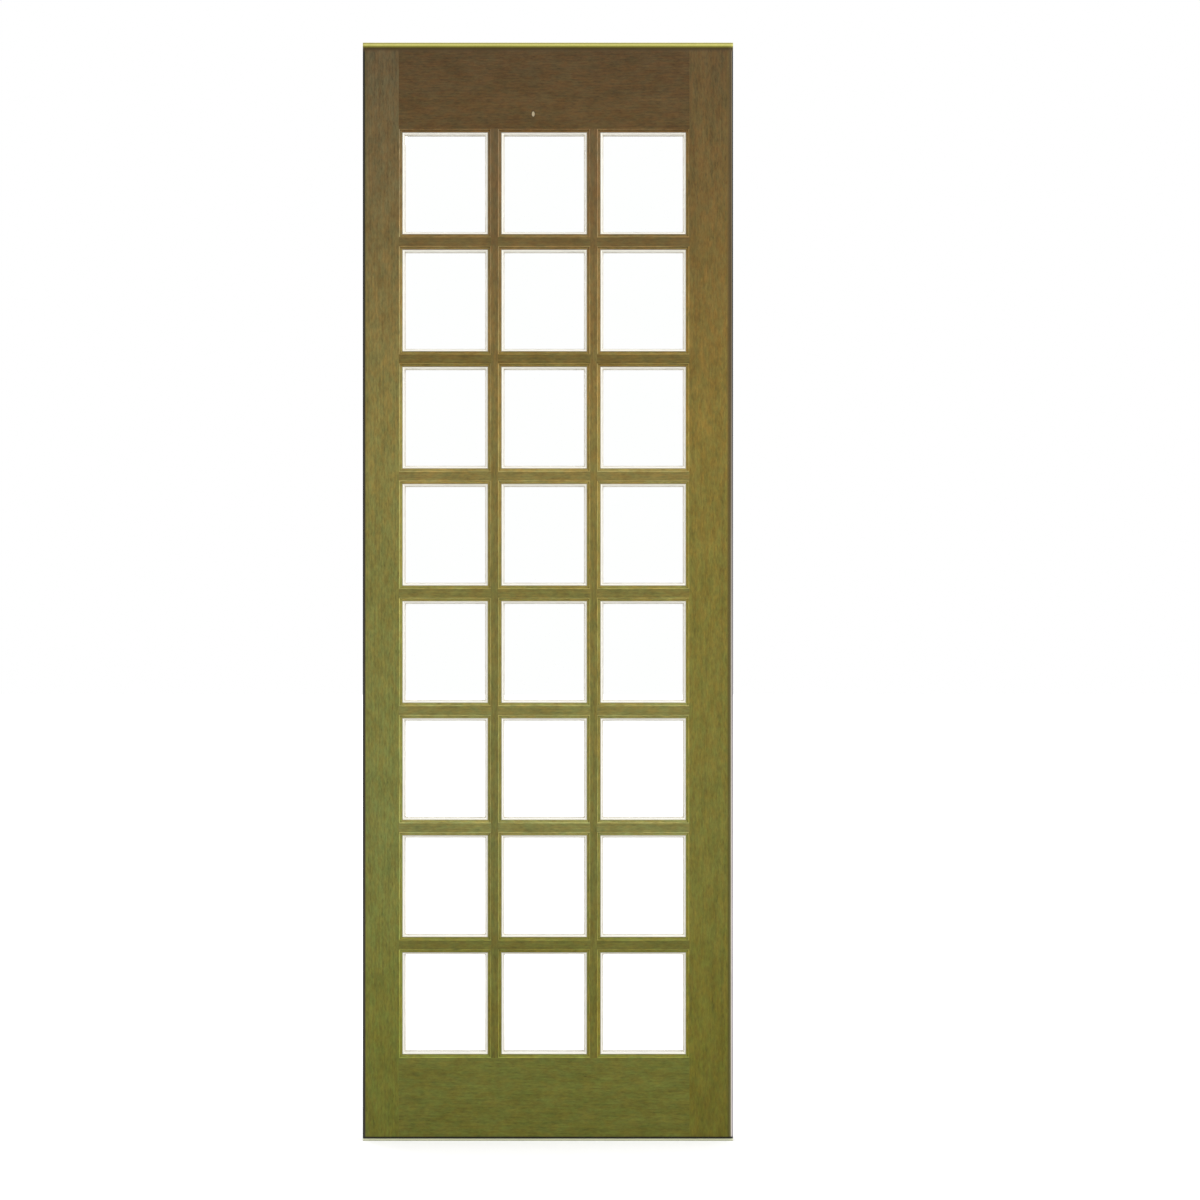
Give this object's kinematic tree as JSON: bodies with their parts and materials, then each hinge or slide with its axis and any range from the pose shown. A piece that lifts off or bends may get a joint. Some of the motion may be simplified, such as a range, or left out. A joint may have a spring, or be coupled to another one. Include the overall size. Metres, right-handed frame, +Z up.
{
  "type": "glazed wooden door leaf",
  "caption": "Tall wooden door leaf with stiles, rails and moulded glazing bars that divide it into a full grid of clear glass lights.",
  "frame": {"origin": "middle of the leaf's bottom edge, in the middle of its thickness", "axes": "+X across the leaf to the right as seen from its moulded face, +Y through the leaf from the moulded face to the beaded face, +Z up"},
  "size_m": [0.708, 0.04, 2.1],
  "materials": {
    "stile_wood": "olive brown stain under satin varnish, grain up the leaf",
    "rail_wood": "olive brown stain under satin varnish, grain across the leaf, darker on the top rail",
    "bar_wood": "olive brown stain under satin varnish, slightly paler than the stiles",
    "bead_wood": "stained and varnished",
    "wedge_wood": "stained end grain",
    "clear_glass": "clear float glass with a ground arris",
    "compound": "cream glazing compound, dull",
    "pin_steel": "bright steel brads"
  },
  "bodies": {
    "root": {"bead_pins_c1": "pin_steel", "bead_pins_c2": "pin_steel", "bead_pins_c3": "pin_steel", "bottom_rail": "rail_wood", "crossbar_r1_c1": "bar_wood", "crossbar_r1_c2": "bar_wood", "crossbar_r1_c3": "bar_wood", "crossbar_r2_c1": "bar_wood", "crossbar_r2_c2": "bar_wood", "crossbar_r2_c3": "bar_wood", "crossbar_r3_c1": "bar_wood", "crossbar_r3_c2": "bar_wood", "crossbar_r3_c3": "bar_wood", "crossbar_r4_c1": "bar_wood", "crossbar_r4_c2": "bar_wood", "crossbar_r4_c3": "bar_wood", "crossbar_r5_c1": "bar_wood", "crossbar_r5_c2": "bar_wood", "crossbar_r5_c3": "bar_wood", "crossbar_r6_c1": "bar_wood", "crossbar_r6_c2": "bar_wood", "crossbar_r6_c3": "bar_wood", "crossbar_r7_c1": "bar_wood", "crossbar_r7_c2": "bar_wood", "crossbar_r7_c3": "bar_wood", "glazing_beads_c1": "bead_wood", "glazing_beads_c2": "bead_wood", "glazing_beads_c3": "bead_wood", "glazing_compound": "compound", "left_stile": "stile_wood", "pane_r1_c1": "clear_glass", "pane_r1_c2": "clear_glass", "pane_r1_c3": "clear_glass", "pane_r2_c1": "clear_glass", "pane_r2_c2": "clear_glass", "pane_r2_c3": "clear_glass", "pane_r3_c1": "clear_glass", "pane_r3_c2": "clear_glass", "pane_r3_c3": "clear_glass", "pane_r4_c1": "clear_glass", "pane_r4_c2": "clear_glass", "pane_r4_c3": "clear_glass", "pane_r5_c1": "clear_glass", "pane_r5_c2": "clear_glass", "pane_r5_c3": "clear_glass", "pane_r6_c1": "clear_glass", "pane_r6_c2": "clear_glass", "pane_r6_c3": "clear_glass", "pane_r7_c1": "clear_glass", "pane_r7_c2": "clear_glass", "pane_r7_c3": "clear_glass", "pane_r8_c1": "clear_glass", "pane_r8_c2": "clear_glass", "pane_r8_c3": "clear_glass", "right_stile": "stile_wood", "tenon_wedges": "wedge_wood", "top_rail": "rail_wood", "upright_bar_1": "bar_wood", "upright_bar_2": "bar_wood"}
  },
  "joints": []
}
